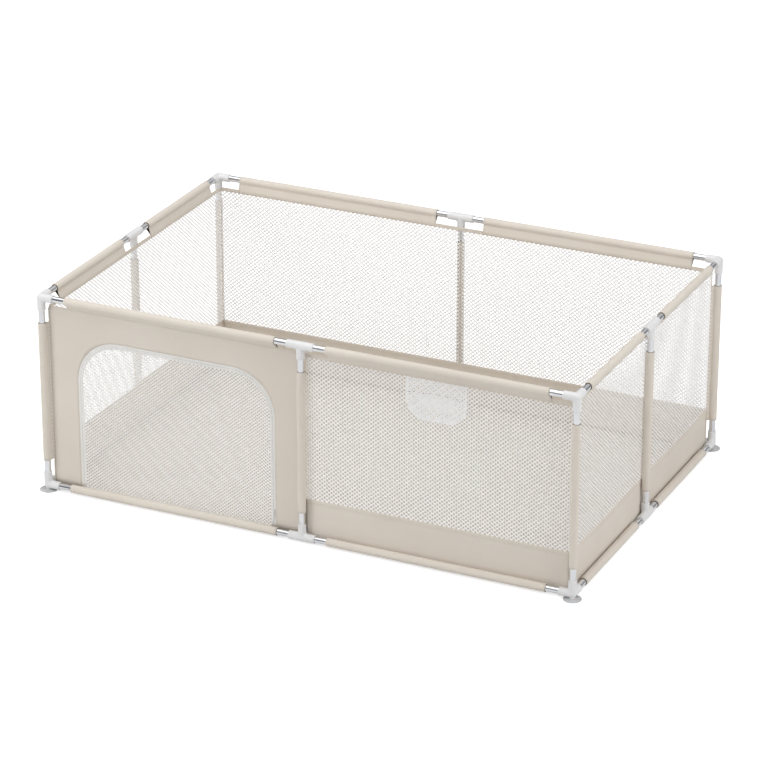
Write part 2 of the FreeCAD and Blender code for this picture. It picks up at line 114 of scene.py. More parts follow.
class Side:
    """One side of the yard.

    s runs along it from its middle, out is measured outwards from the wall's middle, and z is the height.
    """

    def __init__(self, name, along, outward, rail_half, wall_half, rail, wall, seed):
        self.name = name
        self.along = np.array(along, float)
        self.outward = np.array(outward, float)
        self.rail_half = rail_half
        self.wall_half = wall_half
        self.rail = rail
        self.wall = wall
        self.seed = seed

    def at(self, s, out, z):
        """Points on a flat wall."""
        s, out, z = np.broadcast_arrays(*(np.asarray(x, float) for x in (s, out, z)))
        on_plane = s[..., None] * self.along + (self.wall + out)[..., None] * self.outward
        return on_plane + z[..., None] * np.array(UP)

    def on_wall(self, s, out, z):
        """Points on the wall as it hangs, a little slack between the posts and the rails."""
        s, out, z = np.broadcast_arrays(*(np.asarray(x, float) for x in (s, out, z)))
        support = np.minimum(np.abs(s), self.wall_half - np.abs(s))
        free = smooth_step(support / 0.18)
        free = free * smooth_step((z - 0.02) / 0.08) * smooth_step((NET_TOP - z) / 0.12)
        slack = WALL_SLACK * free * crumple(9 * s, 4 * z, self.seed)
        return self.at(s, out + slack, z)


SIDES = {
    "front": Side("front", (1, 0, 0), (0, -1, 0), RAIL_X, WALL_X, RAIL_Y, WALL_Y, 11),
    "back": Side("back", (1, 0, 0), (0, 1, 0), RAIL_X, WALL_X, RAIL_Y, WALL_Y, 12),
    "left": Side("left", (0, 1, 0), (-1, 0, 0), RAIL_Y, WALL_Y, RAIL_X, WALL_X, 13),
    "right": Side("right", (0, 1, 0), (1, 0, 0), RAIL_Y, WALL_Y, RAIL_X, WALL_X, 14),
}

# -------- meshes


def mesh_object(name, points, faces, material, flat_faces=0):
    """An object of points and faces. Its last flat_faces are shaded flat, which keeps their edges crisp."""
    mesh = bpy.data.meshes.new(name)
    face_lists = [list(map(int, face)) for face in faces]
    mesh.from_pydata(np.asarray(points).reshape(-1, 3).tolist(), [], face_lists)
    smooth = np.arange(len(mesh.polygons)) < len(mesh.polygons) - flat_faces
    mesh.polygons.foreach_set("use_smooth", smooth)
    mesh.materials.append(material)
    mesh.update()
    obj = bpy.data.objects.new(name, mesh)
    bpy.context.scene.collection.objects.link(obj)
    return obj


def normals_of(grid):
    """Unit normals of a grid of points."""
    normal = np.cross(np.gradient(grid, axis=0), np.gradient(grid, axis=1))
    return normal / np.maximum(np.linalg.norm(normal, axis=2, keepdims=True), 1e-12)


def grid_faces(rows, columns, offset=0, flip=False):
    index = np.arange(rows * columns).reshape(rows, columns) + offset
    quads = np.stack([index[:-1, :-1], index[1:, :-1], index[1:, 1:], index[:-1, 1:]], axis=-1).reshape(-1, 4)
    return quads[:, ::-1] if flip else quads


def thick_cloth(name, grid, thickness, material):
    """A closed sheet about a grid of points. thickness is a number, or one for each point."""
    rows, columns = grid.shape[:2]
    half = np.broadcast_to(thickness, (rows, columns))[..., None] / 2
    normal = normals_of(grid)
    count = rows * columns
    upper = np.arange(count).reshape(rows, columns)
    border = np.concatenate([upper[0, :-1], upper[:-1, -1], upper[-1, :0:-1], upper[:0:-1, 0]])
    after = np.roll(border, -1)
    rim = np.stack([border, after, after + count, border + count], axis=1)
    faces = np.concatenate([grid_faces(rows, columns), grid_faces(rows, columns, count, flip=True), rim])
    points = np.concatenate([(grid + normal * half).reshape(-1, 3), (grid - normal * half).reshape(-1, 3)])
    return mesh_object(name, points, faces, material, flat_faces=len(rim))


def pipe(name, line, radius, material, steps=10):
    """A closed round strip along a line of points."""
    line = np.asarray(line, float)
    tangent = np.gradient(line, axis=0)
    tangent /= np.linalg.norm(tangent, axis=1, keepdims=True)
    first = np.cross(tangent, (0.31, 0.87, 0.41))
    first /= np.linalg.norm(first, axis=1, keepdims=True)
    second = np.cross(tangent, first)
    turn = np.linspace(0, 2 * math.pi, steps, endpoint=False)
    ring = np.cos(turn)[None, :, None] * first[:, None] + np.sin(turn)[None, :, None] * second[:, None]
    points = line[:, None] + radius * ring
    rows = len(line)
    index = np.arange(rows * steps).reshape(rows, steps)
    after = np.roll(index, -1, axis=1)
    faces = np.stack([index[:-1], index[1:], after[1:], after[:-1]], axis=-1).reshape(-1, 4).tolist()
    faces += [index[0].tolist(), index[-1, ::-1].tolist()]
    return mesh_object(name, points, faces, material, flat_faces=2)


def net_mesh(name, surface, low, high, inside, cell, material):
    """A net of six-sided holes with rounded strands.

    Its cells start at low and run past high, both (s, z). surface maps (s, out, z) to points, and inside says
    which cells are wanted.
    """
    across, tall = cell
    rows = np.arange(int((high[1] - low[1]) / (tall / 2)) + 2)
    columns = np.arange(int((high[0] - low[0]) / across) + 2)
    s = low[0] + columns[None, :] * across + (rows[:, None] % 2) * across / 2
    z = np.broadcast_to(low[1] + rows[:, None] * tall / 2, s.shape)
    wanted = inside(s, z)
    centres = np.stack([s[wanted], z[wanted]], axis=1)
    # a cell is six-sided, so that cells fill the plane, and its hole is a rounder shape inside it
    near = ((across / 2) ** 2 - (tall / 2) ** 2) / across
    far = ((across / 2) ** 2 + (tall / 2) ** 2) / across
    upper = [(far, 0), (near, tall / 2), (-near, tall / 2)]
    cell_shape = np.array(upper + [(-a, -b) for a, b in upper])
    hole_share = OPEN * across * tall / 2 / HOLE_AREA
    hole_wide = math.sqrt(hole_share * across / tall)
    hole_tall = hole_share / hole_wide
    hole_shape = HOLE_CORNERS * (hole_wide, hole_tall)
    corners = (centres[:, None] + cell_shape).reshape(-1, 2)
    _, first, shared = np.unique(np.round(corners, 6), axis=0, return_index=True, return_inverse=True)
    shared = shared.reshape(-1, 6)
    knots = corners[first]
    holes = (centres[:, None] + hole_shape).reshape(-1, 2)
    front = surface(knots[:, 0], STRAND, knots[:, 1])
    back = surface(knots[:, 0], -STRAND, knots[:, 1])
    edge = surface(holes[:, 0], 0.0, holes[:, 1])
    count = len(knots)
    hole_index = np.arange(len(holes)).reshape(-1, 6) + 2 * count
    after, hole_after = np.roll(shared, -1, axis=1), np.roll(hole_index, -1, axis=1)
    face_front = np.stack([shared, after, hole_after, hole_index], axis=-1).reshape(-1, 4)
    face_back = np.stack([hole_index, hole_after, after + count, shared + count], axis=-1).reshape(-1, 4)
    # the net's outer edge is closed by joining its front and back
    sides = np.stack([shared, after], axis=-1).reshape(-1, 2)
    ordered = np.sort(sides, axis=1)
    _, where, uses = np.unique(ordered, axis=0, return_index=True, return_counts=True)
    open_sides = sides[where[uses == 1]]
    begin, finish = open_sides[:, 0], open_sides[:, 1]
    rim = np.stack([begin, begin + count, finish + count, finish], axis=1)
    points = np.concatenate([front, back, edge])
    return mesh_object(name, points, np.concatenate([face_front, face_back, rim]), material)


def along_line(place, gone, rows):
    """The rows of a line, such as its points, at places given as distances along it."""
    return np.stack([np.interp(place, gone, rows[:, i]) for i in range(3)], axis=1)


def lenses(line, normal, pitch, size, sideways=0.0):
    """Small rounded bars along a line, such as stitches or zip teeth. size is (along, across, high)."""
    line, normal = np.asarray(line, float), np.asarray(normal, float)
    gone = np.concatenate([[0], np.cumsum(np.linalg.norm(np.diff(line, axis=0), axis=1))])
    count = max(2, int(gone[-1] / pitch))
    place = (np.arange(count) + 0.5) * gone[-1] / count
    along = along_line(place + pitch * 0.1, gone, line) - along_line(place - pitch * 0.1, gone, line)
    along /= np.maximum(np.linalg.norm(along, axis=1, keepdims=True), 1e-12)
    facing = along_line(place, gone, normal)
    facing /= np.linalg.norm(facing, axis=1, keepdims=True)
    across = np.cross(facing, along)
    centre = along_line(place, gone, line) + across * sideways
    long, wide, high = (x / 2 for x in size)
    flat = 0.6 * long
    spots = [(-long, 0, 0), (-flat, -wide, 0), (-flat, wide, 0), (-flat, 0, high)]
    spots += [(flat, -wide, 0), (flat, wide, 0), (flat, 0, high), (long, 0, 0)]
    bars = np.stack([centre + a * along + b * across + c * facing for a, b, c in spots], axis=1)
    pattern = [(0, 1, 3), (0, 3, 2), (0, 2, 1), (7, 6, 4), (7, 5, 6), (7, 4, 5)]
    quads = [(1, 4, 6, 3), (3, 6, 5, 2), (2, 5, 4, 1)]
    starts = np.arange(count) * len(spots)
    faces = [tuple(start + i for i in face) for start in starts for face in pattern + quads]
    return bars.reshape(-1, 3), faces


def join_lenses(name, runs, material):
    """One object of many runs of lenses, each a (points, faces) pair."""
    points, faces = [], []
    total = 0
    for run_points, run_faces in runs:
        points.append(run_points)
        faces += [tuple(total + i for i in face) for face in run_faces]
        total += len(run_points)
    return mesh_object(name, np.concatenate(points), faces, material)


# -------- materials


class Shader:
    """A principled material with short calls for its nodes."""

    def __init__(self, name, colour, roughness, metallic=0.0, sheen=0.0):
        self.material = bpy.data.materials.new(name)
        self.material.use_nodes = True
        self.tree = self.material.node_tree
        self.shader = self.tree.nodes["Principled BSDF"]
        self.shader.inputs["Base Color"].default_value = (*colour, 1)
        self.shader.inputs["Roughness"].default_value = roughness
        self.shader.inputs["Metallic"].default_value = metallic
        self.shader.inputs["Sheen Weight"].default_value = sheen
        self.place = self.node("ShaderNodeTexCoord").outputs["Object"]
        self.height = None

    def node(self, kind, inputs=None, **settings):
        made = self.tree.nodes.new(kind)
        for key, value in settings.items():
            setattr(made, key, value)
        for key, value in (inputs or {}).items():
            if isinstance(value, bpy.types.NodeSocket):
                self.tree.links.new(value, made.inputs[key])
            else:
                made.inputs[key].default_value = value
        return made

    def noise(self, scale, detail=3.0, rough=0.5, stretch=None):
        vector = self.place
        if stretch:
            vector = self.node("ShaderNodeMapping", {"Vector": vector, "Scale": stretch}).outputs["Vector"]
        settings = {"Vector": vector, "Scale": scale, "Detail": detail, "Roughness": rough}
        return self.node("ShaderNodeTexNoise", settings).outputs["Fac"]

    def threads(self, direction, pitch):
        """A wave of the given pitch across a direction."""
        dot = self.node("ShaderNodeVectorMath", {0: self.place, 1: direction}, operation="DOT_PRODUCT")
        return self.math("SINE", self.math("MULTIPLY", dot.outputs["Value"], 2 * math.pi / pitch))

    def math(self, operation, a, b=0.0):
        return self.node("ShaderNodeMath", {0: a, 1: b}, operation=operation).outputs["Value"]

    def blend(self, factor, low, high):
        """Two colours mixed by a factor."""
        ramp = self.node("ShaderNodeValToRGB", {"Fac": factor})
        ramp.color_ramp.elements[0].color = (*low, 1)
        ramp.color_ramp.elements[1].color = (*high, 1)
        ramp.color_ramp.elements[0].position = 0.3
        ramp.color_ramp.elements[1].position = 0.7
        return ramp.outputs["Color"]

    def colour(self, socket):
        self.tree.links.new(socket, self.shader.inputs["Base Color"])

    def rough(self, factor, low, high):
        spread = self.node("ShaderNodeMapRange", {"Value": factor, "To Min": low, "To Max": high})
        self.tree.links.new(spread.outputs["Result"], self.shader.inputs["Roughness"])

    def bump(self, height, strength, distance):
        settings = {"Height": height, "Strength": strength, "Distance": distance}
        if self.height is not None:
            settings["Normal"] = self.height
        self.height = self.node("ShaderNodeBump", settings).outputs["Normal"]
        self.tree.links.new(self.height, self.shader.inputs["Normal"])


def linear(red, green, blue):
    """A colour given as it shows on a screen, 11 to 255, as scene-linear values."""
    return tuple(((x / 255 + 0.055) / 1.055) ** 2.4 for x in (red, green, blue))


def woven(name, light, dark, pitch, sheen=0.25, roughness=0.86):
    """A woven cloth: two sets of threads, slubs, soft blotches of colour and a little sheen."""
    made = Shader(name, light, roughness, sheen=sheen)
    made.shader.inputs["Sheen Roughness"].default_value = 0.4
    made.shader.inputs["Specular IOR Level"].default_value = 0.25
    warp = made.threads((1, 1, 0), pitch)
    weft = made.threads((0.6, -0.6, 1), pitch)
    weave = made.math("MULTIPLY", warp, weft)
    slub = made.noise(900, 2, 0.6, (1, 1, 0.12))
    blotch = made.noise(5, 3, 0.55)
    shade = made.math("ADD", made.math("MULTIPLY", blotch, 0.7), made.math("MULTIPLY", slub, 0.3))
    made.colour(made.blend(shade, dark, light))
    made.rough(slub, roughness - 0.06, roughness + 0.06)
    made.bump(weave, 0.35, pitch * 0.12)
    made.bump(slub, 0.12, pitch * 0.2)
    made.bump(made.noise(38, 3, 0.5), 0.12, 0.0016)
    return made.material


def knitted(name, light, dark, glow=0.0):
    """Fine knitted yarn. glow is painted light, an even glow that stands for the light passing through thin
    white yarn.
    """
    made = Shader(name, light, 0.62, sheen=0.2)
    made.shader.inputs["Sheen Roughness"].default_value = 0.35
    rising, falling = (made.threads((0.7, 0.7, way), 0.0011) for way in (1, -1))
    yarn = made.math("MULTIPLY", rising, falling)
    made.colour(made.blend(made.noise(140, 2, 0.5), dark, light))
    made.shader.inputs["Emission Color"].default_value = (*light, 1)
    made.shader.inputs["Emission Strength"].default_value = glow
    made.rough(made.noise(600, 1, 0.5), 0.52, 0.72)
    made.bump(yarn, 0.4, 0.00012)
    return made.material


def moulded(name, light, dark, roughness):
    """Moulded plastic: a faint orange-peel, slightly uneven gloss and fine scuffs."""
    made = Shader(name, light, roughness)
    made.shader.inputs["Specular IOR Level"].default_value = 0.45
    made.colour(made.blend(made.noise(9, 3, 0.6), dark, light))
    made.rough(made.noise(60, 4, 0.65), roughness - 0.06, roughness + 0.08)
    made.bump(made.noise(420, 2, 0.5), 0.06, 0.0002)
    return made.material


def plated(name):
    """Chrome-plated steel tube, with a faint lengthwise drawing mark and small smudges."""
    made = Shader(name, linear(232, 233, 236), 0.1, metallic=1.0)
    made.colour(made.blend(made.noise(22, 4, 0.6), linear(222, 223, 227), linear(238, 239, 241)))
    made.rough(made.noise(55, 5, 0.7), 0.06, 0.17)
    made.bump(made.noise(700, 2, 0.5, (0.2, 0.2, 0.2)), 0.03, 0.0001)
    return made.material


def rubber(name):
    """Milky, slightly see-through suction-cup rubber."""
    made = Shader(name, linear(220, 220, 220), 0.3)
    made.shader.inputs["Transmission Weight"].default_value = 0.25
    made.shader.inputs["IOR"].default_value = 1.42
    made.shader.inputs["Subsurface Weight"].default_value = 0.2
    made.shader.inputs["Subsurface Scale"].default_value = 0.004
    made.colour(made.blend(made.noise(30, 3, 0.6), linear(212, 212, 212), linear(228, 228, 228)))
    made.rough(made.noise(90, 3, 0.6), 0.24, 0.42)
    made.bump(made.noise(300, 2, 0.5), 0.08, 0.0002)
    return made.material


FABRIC = woven("beige_woven", linear(225, 217, 206), linear(219, 210, 198), 0.0009)
FLOOR_CLOTH = woven("beige_floor", linear(206, 198, 187), linear(199, 190, 178), 0.0012, sheen=0.15)
TAPE = woven("grey_tape", linear(238, 236, 232), linear(231, 229, 225), 0.0008, sheen=0.2)
# painted shade: a near-black cloth for the inner side of the sleeves, standing for the shadow in the hollow
# round each tube
HOLLOW_SHADE = woven("dark_lining", linear(58, 53, 48), linear(44, 40, 36), 0.0012, sheen=0.05)
THREAD = knitted("sewing_thread", linear(222, 212, 200), linear(208, 197, 184))
# the nets' glow is painted light, for light passing through the yarn
NET = knitted("white_net", linear(249, 248, 247), linear(242, 241, 240), glow=0.12)
POCKET_NET = knitted("pocket_net", linear(250, 250, 250), linear(244, 244, 244), glow=0.14)
# painted shade: the pocket's lip is coloured dark for the shadow line at the pouch's opening
LIP_SHADE = knitted("lip_elastic", linear(150, 140, 128), linear(138, 128, 117))
PLASTIC = moulded("white_joint", linear(233, 233, 233), linear(227, 227, 227), 0.36)
ZIP = moulded("zip_plastic", linear(238, 237, 236), linear(229, 228, 227), 0.34)
CHROME = plated("chrome_tube")
CUP = rubber("cup_rubber")

CAD_FINISH = (("tube_", CHROME), ("post_", CHROME), ("elbow_", PLASTIC), ("tee_", PLASTIC))
CAD_FINISH += (("suction_cup_", CUP), ("zip_slider", ZIP), ("zip_pull", ZIP))
for name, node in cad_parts.items():
    for start, material in CAD_FINISH:
        if name.startswith(start):
            node.data.materials.clear()
            node.data.materials.append(material)

# -------- pieces on their bodies, in place of CAD nodes


def piece(obj, replaces=(), body="yard"):
    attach(obj, body)
    if replaces:
        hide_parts(*replaces)
    return obj


def cloth(
    name, grid, thickness, flat, replaces, held="stretched", area=None,
    material=FABRIC, slot="beige_fabric", body="yard",
):
    """A cloth piece about a grid of points."""
    obj = piece(thick_cloth(name, grid, thickness, material), replaces, body)
    return obj


# -------- sleeves


def through(corners, steps=4):
    """Points along the straight lines between corners."""
    share = np.linspace(0, 1, steps + 1)[:-1, None]
    runs = [start + (end - start) * share for start, end in zip(corners, corners[1:])]
    return np.concatenate(runs + [corners[-1][None]])


def casing(neck, apex, tail=None, layers=0.0013, steps=36):
    """Outline (a, b) of the cloth round a tube at (0, 0): up one layer, round the tube and down the other.

    a is measured away from the wall. The two layers leave the tube a neck apart and meet at apex, and may
    run on together along tail.
    """
    apex = np.array(apex, float)
    heading = math.atan2(apex[1], apex[0])
    gap = math.asin(neck / 2 / SLEEVE_RADIUS)
    turn = np.linspace(heading + gap, heading + 2 * math.pi - gap, steps)
    arc = SLEEVE_RADIUS * np.stack([np.cos(turn), np.sin(turn)], axis=1)
    ends = [apex] if tail is None else [apex + tail, apex]
    ahead = apex if tail is None else ends[0] - ends[-1]
    aside = np.array((-ahead[1], ahead[0])) / math.hypot(*ahead) * layers / 2
    up = through([end + aside for end in ends] + [arc[0]])
    down = through([arc[-1]] + [end - aside for end in reversed(ends)])
    return np.concatenate([up[:-1], arc, down[1:]])


def line_with(obj, material, first_side):
    """Put another material on one side of a cloth made by thick_cloth."""
    obj.data.materials.append(material)
    edge_faces = sum(not face.use_smooth for face in obj.data.polygons)
    each_side = (len(obj.data.polygons) - edge_faces) // 2
    slots = np.zeros(len(obj.data.polygons), int)
    slots[:each_side] = first_side
    slots[each_side : 2 * each_side] = not first_side
    obj.data.polygons.foreach_set("material_index", slots)


def length_of(outline):
    return float(np.linalg.norm(np.diff(outline, axis=0), axis=1).sum())


SLEEVE_ROW = 0.009  # spacing of the rows of points along a sleeve
HEM_INNER = 0.0095  # a sleeve's end to where its hem's edge starts to fall away
HEM_FALL = 0.0010  # width over which that edge falls
FOLD = 0.00045  # height of the folds in a sleeve
CREASE = 0.00030  # height of the finer creases on them


def sleeve(name, origin, direction, away, up, span, outline, seed, replaces):
    """Cloth round a tube, over a span (start, end) of direction, with a turned hem at each end."""
    origin, direction, away, up = (np.array(v, float) for v in (origin, direction, away, up))
    start, end = span
    even_rows = np.linspace(start, end, max(24, int((end - start) / SLEEVE_ROW)))
    # two more rows at each hem make its edge crisp
    hem_outer = HEM_INNER + HEM_FALL
    hem_rows = [start + HEM_INNER, start + hem_outer, end - hem_outer, end - HEM_INNER]
    s = np.sort(np.concatenate([even_rows, hem_rows]))[:, None]
    from_end = np.minimum(s - start, end - s)
    round_it = np.linspace(0, 2 * math.pi, len(outline))[None, :]
    folds = FOLD * crumple(26 * s, 1.7 * round_it, seed, waves=7)
    folds = folds + CREASE * crumple(70 * s, 2.6 * round_it, seed + 1, waves=5)
    slack = smooth_step(from_end / 0.03) * np.sin(round_it / 2) ** 0.5
    in_hem = 1 - smooth_step((from_end - HEM_INNER) / HEM_FALL)
    size = folds * slack - 0.3 * (HEM - CLOTH) * in_hem * np.sin(round_it / 2)
    radial = outline / np.maximum(np.linalg.norm(outline, axis=1, keepdims=True), 1e-9)
    shape = outline[None] + radial[None] * size[..., None]
    grid = origin + s[..., None] * direction + shape[..., :1] * away + shape[..., 1:] * up
    thickness = CLOTH + 0.6 * (HEM - CLOTH) * in_hem * np.ones_like(round_it)
    made = cloth(name, grid, thickness, (length_of(outline), end - start), replaces, held="hung")
    # the inner side gets the painted shade of the sleeve's hollow
    line_with(made, HOLLOW_SHADE, first_side=np.cross(direction, away) @ up > 0)


INSET = RAIL_Y - WALL_Y
SEAM_DROP = 0.0375  # rail's axis down to the stitches that hold the sleeve and the hem strip together
SEAM_OUT = 0.0015  # wall's middle to the stitches on either side of it
top_outline = casing(0.0100, (-0.0010 - INSET, -0.0315), tail=(0.0010, -0.0080), layers=0.0020)
low_outline = casing(0.0040, (0.0010 - INSET, -0.0090))
post_outline = casing(0.0030, (0.0010 - INSET, 0))
corner_outline = casing(0.0030, (0.0015 - math.hypot(INSET, INSET), 0))

STITCH = (0.0031, 0.0006, 0.0005)  # along, across and high
STITCH_PITCH = 0.0042
seams = []


def seam(line, normal):
    """A row of stitches along a line."""
    seams.append(lenses(line, np.broadcast_to(normal, line.shape), STITCH_PITCH, STITCH))


post_span = (LOW_RAIL + SLEEVE_START, TOP_RAIL - SLEEVE_START)
for side in SIDES.values():
    sleeve_node = "sleeves_" + side.name
    ends = ("left", "right") if side.name in ("front", "back") else ("front", "back")
    rail_span = (SLEEVE_START, side.rail_half - SLEEVE_START)
    rail_place = side.outward * side.rail
    for number, (end, sign) in enumerate(zip(ends, (-1, 1))):
        along = side.along * sign
        for level, height, outline in (("top", TOP_RAIL, top_outline), ("bottom", LOW_RAIL, low_outline)):
            name = "cloth_sleeve_%s_%s_%s" % (level, side.name, end)
            origin = rail_place + np.array((0, 0, height))
            seed = side.seed * 10 + number + (level == "top") * 5
            sleeve(name, origin, along, side.outward, UP, rail_span, outline, seed, [sleeve_node])
        line = sign * np.linspace(rail_span[0] + 0.002, rail_span[1] - 0.002, 100)
        for way in (1, -1):
            seam(side.at(line, way * SEAM_OUT, TOP_RAIL - SEAM_DROP), side.outward * way)
    name = "cloth_sleeve_post_" + side.name
    seed = side.seed * 10 + 3
    sleeve(name, rail_place, UP, side.outward, side.along, post_span, post_outline, seed, [sleeve_node])

CORNERS = (("front", "left"), ("front", "right"), ("back", "right"), ("back", "left"))
CORNER_NODES = ("sleeves_front", "sleeves_right", "sleeves_back", "sleeves_left")
CORNER_SEED = 300
for number, ((side_name, end), sleeve_node) in enumerate(zip(CORNERS, CORNER_NODES)):
    name = "cloth_sleeve_corner_%s_%s" % (side_name, end)
    outward = np.array((1 if end == "right" else -1, 1 if side_name == "back" else -1, 0))
    origin = outward * (RAIL_X, RAIL_Y, 0)
    away = outward / math.sqrt(2)
    beside = np.cross(UP, away)
    sleeve(name, origin, UP, away, beside, post_span, corner_outline, CORNER_SEED + number, [sleeve_node])

# -------- walls: hem strips, nets, skirts


def wall_grid(side, s, z, out=0.0):
    return side.on_wall(np.asarray(s)[:, None], out, np.asarray(z)[None, :])


HEM_LAP = 0.0012  # how far the hem strip runs down over a net
HEM_ROUND = 0.008  # radius of the hem strip's upper corners
HEM_BEND = 0.020  # length at each end of the hem strip with closer points
HEM_ROLL = 0.0011  # how much thicker the hem strip is at its fold
NET_UNDER_HEM = 0.006  # how far a net's cells run up behind the hem strip
NET_UNDER_SKIRT = 0.004  # how far they run down behind the skirt
SKIRT_FOOT = 0.0016  # height of a skirt's lower edge, on the floor sheet
SKIRT_HEM = 0.0072  # height of the folded hem below the net
SKIRT_LAP = 0.003  # how far the skirt runs up over the net
SKIRT_PUFF = 0.0012  # how far the skirt stands out between its seams
SKIRT_STEP = 0.011  # spacing of the points along a skirt
SKIRT_START = 0.0012  # middle of the front side to the skirt that starts beside the door panel
TUCK_DEEP = 0.011  # how far that skirt is drawn in where it starts
TUCK_PLACE = 0.0045  # its start to the deepest place of the tuck
TUCK_WIDE = 0.0024
BINDING_RADIUS = 0.0018


def hem_strip(side, end):
    """The folded strip above the nets. It bridges the windows at the joints and has small round corners."""
    bend = np.linspace(end - HEM_BEND, end, 9)
    s = np.concatenate([-bend[:0:-1], np.linspace(HEM_BEND - end, end - HEM_BEND, 120), bend[1:]])
    past_straight = np.clip(HEM_ROUND - (end - np.abs(s)), 0, HEM_ROUND)
    top = NET_TOP + HEM_TALL - (HEM_ROUND - np.sqrt(HEM_ROUND**2 - past_straight**2))
    rise = np.linspace(0, 1, 9)
    z = (NET_TOP - HEM_LAP) + (top[:, None] - NET_TOP + HEM_LAP) * rise
    # the fold near its top makes it thicker
    roll = HEM + HEM_ROLL * np.exp(-(((rise - 0.93) / 0.07) ** 2))[None, :] * np.ones_like(z)
    flat = (2 * end, HEM_TALL + HEM_LAP)
    cloth("cloth_hem_" + side.name, side.at(s[:, None], 0.0, z), roll, flat, ["sleeves_" + side.name])


def between(low, high):
    """A test for the cells of a wall's net from low to high along it."""

    def test(s, z):
        in_height = (z > NET_LOW - NET_UNDER_SKIRT) & (z < NET_TOP + NET_UNDER_HEM)
        return in_height & (s >= low) & (s < high - 0.0001)

    return test


def wall_net(name, side, end, low, high):
    """The net from low to high along a wall. Its cells are counted from the wall's end."""
    first = -end + NET_CELL[0] * math.ceil((low + end) / NET_CELL[0] - 1e-9)
    start, stop = (first, NET_LOW - 0.002), (high, NET_TOP + 0.008)
    made = net_mesh(name, side.on_wall, start, stop, between(low, high), NET_CELL, NET)
    piece(made, ["net_wall_" + side.name])


def skirt(side, end):
    """The cloth under the nets, with a folded hem along its top."""
    beside_door = side.name == "front"
    low = SKIRT_START if beside_door else -end
    s = np.linspace(low, end, int((end - low) / SKIRT_STEP))
    if beside_door:
        close = np.linspace(low, low + SKIRT_STEP, 12)
        s = np.concatenate([close[:-1], np.linspace(low + SKIRT_STEP, end, len(s) - 1)])
    hem_start = NET_LOW - SKIRT_HEM
    # points just below and above the hem's edge make it crisp
    hem_z = np.linspace(hem_start + 0.0004, NET_LOW + SKIRT_LAP, 6)
    z = np.concatenate([np.linspace(0, hem_start - 0.0003, 15), hem_z])[None, :]
    s = s[:, None]
    support = np.minimum(np.abs(s), side.wall_half - np.abs(s))
    belly = smooth_step(support / 0.1) * np.sin(math.pi * np.clip(z / NET_LOW, 0, 1))
    puff = SKIRT_PUFF * belly * crumple(21 * s, 16 * z, side.seed + 40, waves=7)
    if beside_door:
        tuck = np.exp(-(((s - low - TUCK_PLACE) / TUCK_WIDE) ** 2))
        puff = puff - TUCK_DEEP * tuck * smooth_step((NET_LOW - z) / 0.02)
    # it runs down to the floor sheet, a little higher where it passes a suction cup
    past_cup = smooth_step((side.wall_half - np.abs(s) - 0.012) / 0.02)
    foot = WALL_BASE + (SKIRT_FOOT - WALL_BASE) * past_cup
    grid = side.on_wall(s, puff, foot + (1 - foot / NET_LOW) * z)
    thickness = np.where(z > hem_start, HEM, CLOTH) * np.ones_like(s)
    cloth("cloth_skirt_" + side.name, grid, thickness, (end - low, z[0, -1] - z[0, 0]), ["skirts"])
    line = np.linspace(low + 0.004, end - 0.004, 160)
    for out, way in ((HEM / 2, 1), (-HEM / 2, -1)):
        seam(side.on_wall(line, out, NET_LOW - 0.0045), side.outward * way)


for side in SIDES.values():
    end = side.wall_half if side.name in ("front", "back") else side.wall_half - CLOTH
    hem_strip(side, end)
    # the door panel takes the left half of the front, and the back's net has a seam at its middle
    nets = {"": (-end, end)}
    if side.name == "front":
        nets = {"": (0.0, end)}
    if side.name == "back":
        nets = {"_left": (-end, 0.0), "_right": (0.0, end)}
    for ending, (low, high) in nets.items():
        wall_net("net_" + side.name + ending, side, end, low, high)
    skirt(side, end)

for side_name, end in CORNERS:
    x = WALL_X if end == "right" else -WALL_X
    y = WALL_Y if side_name == "back" else -WALL_Y
    line = [(x, y, z) for z in np.linspace(WALL_BASE, NET_TOP + 0.002, 40)]
    binding = pipe("corner_binding_%s_%s" % (side_name, end), line, BINDING_RADIUS, FABRIC)
    piece(binding)

front = SIDES["front"]
TAPE_LEFT, TAPE_RIGHT = -0.0060, 0.0016  # edges of the tape over the seam between door panel and net
tape_z = np.linspace(WALL_BASE, NET_TOP, 60)
seam_tape = wall_grid(front, np.linspace(TAPE_LEFT, TAPE_RIGHT, 5), tape_z, -0.0003)
tape_flat = (TAPE_RIGHT - TAPE_LEFT, NET_TOP - WALL_BASE)
cloth("cloth_middle_seam", seam_tape, HEM, tape_flat, ["front_door_panel"])

# -------- floor


def from_ends(half, edge, fine, coarse):
    """Values from -half to half, closer together within an edge at both ends."""
    near = half - edge * (1 - np.cos(np.linspace(0, math.pi / 2, fine)))
    return np.concatenate([-near[:-1], np.linspace(-near[-1], near[-1], coarse), near[-2::-1]])


SHEET_CORNER = 0.034  # corner radius, which clears the suction cups
SHEET_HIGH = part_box("floor_sheet")[1]
SHEET_LAP = 0.0004  # how far the sheet reaches past its CAD box, towards the walls
SHEET_LIFT = 0.0011  # height of the middle of the sheet's thickness
sheet_x = from_ends(SHEET_HIGH.x + SHEET_LAP, SHEET_CORNER, 12, 90)
past_straight = np.clip(np.abs(sheet_x) - (sheet_x[-1] - SHEET_CORNER), 0, SHEET_CORNER)
sheet_half = SHEET_HIGH.y + SHEET_LAP - (SHEET_CORNER - np.sqrt(SHEET_CORNER**2 - past_straight**2))
sheet_y = sheet_half[:, None] * from_ends(1.0, 0.05, 8, 60)
sheet_x = np.broadcast_to(sheet_x[:, None], sheet_y.shape)
inland = np.minimum(SHEET_HIGH.x - np.abs(sheet_x), SHEET_HIGH.y - np.abs(sheet_y))
sheet_wave = 1 + crumple(13 * sheet_x, 11 * sheet_y, seed=77, waves=8)
lift = SHEET_LIFT + 0.0005 * smooth_step(inland / 0.05) * sheet_wave
sheet_grid = np.stack([sheet_x, sheet_y, lift], axis=2)
sheet_flat = (2 * SHEET_HIGH.x, 2 * SHEET_HIGH.y)
cloth("cloth_floor", sheet_grid, CLOTH, sheet_flat, ["floor_sheet"], held="laid", material=FLOOR_CLOTH)

# -------- door

